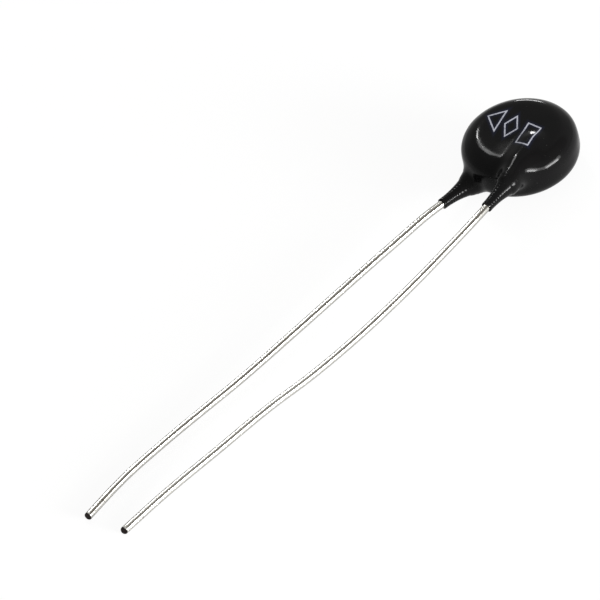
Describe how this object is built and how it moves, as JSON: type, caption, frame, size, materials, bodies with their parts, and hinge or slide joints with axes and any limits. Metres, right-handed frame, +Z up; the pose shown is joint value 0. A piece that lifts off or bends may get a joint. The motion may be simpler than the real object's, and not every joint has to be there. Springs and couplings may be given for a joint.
{
  "type": "ntc disc thermistor",
  "caption": "Radial-lead disc thermistor for sensing temperature: a black resin-dipped ceramic disc with long bare tinned wire leads, lying on its face.",
  "frame": {"origin": "under the middle of the part's footprint, on the surface that it lies on", "axes": "+Y from the wire tips towards the disc, along the leads; +Z up, out of the disc's marked front face; +X across the two leads"},
  "size_m": [0.009, 0.0508, 0.0044],
  "materials": {
    "black_resin": "glossy dipped and cured resin",
    "tinned_wire": "bright tinned wire, slightly drawn",
    "grey_ceramic": "matt sintered metal oxide",
    "fired_silver": "satin fired silver",
    "solder_alloy": "bright solder"
  },
  "bodies": {
    "root": {"coating": "black_resin", "ceramic_disc": "grey_ceramic", "electrode_front": "fired_silver", "electrode_back": "fired_silver", "solder_front": "solder_alloy", "solder_back": "solder_alloy", "lead_front": "tinned_wire", "lead_back": "tinned_wire"}
  },
  "joints": []
}
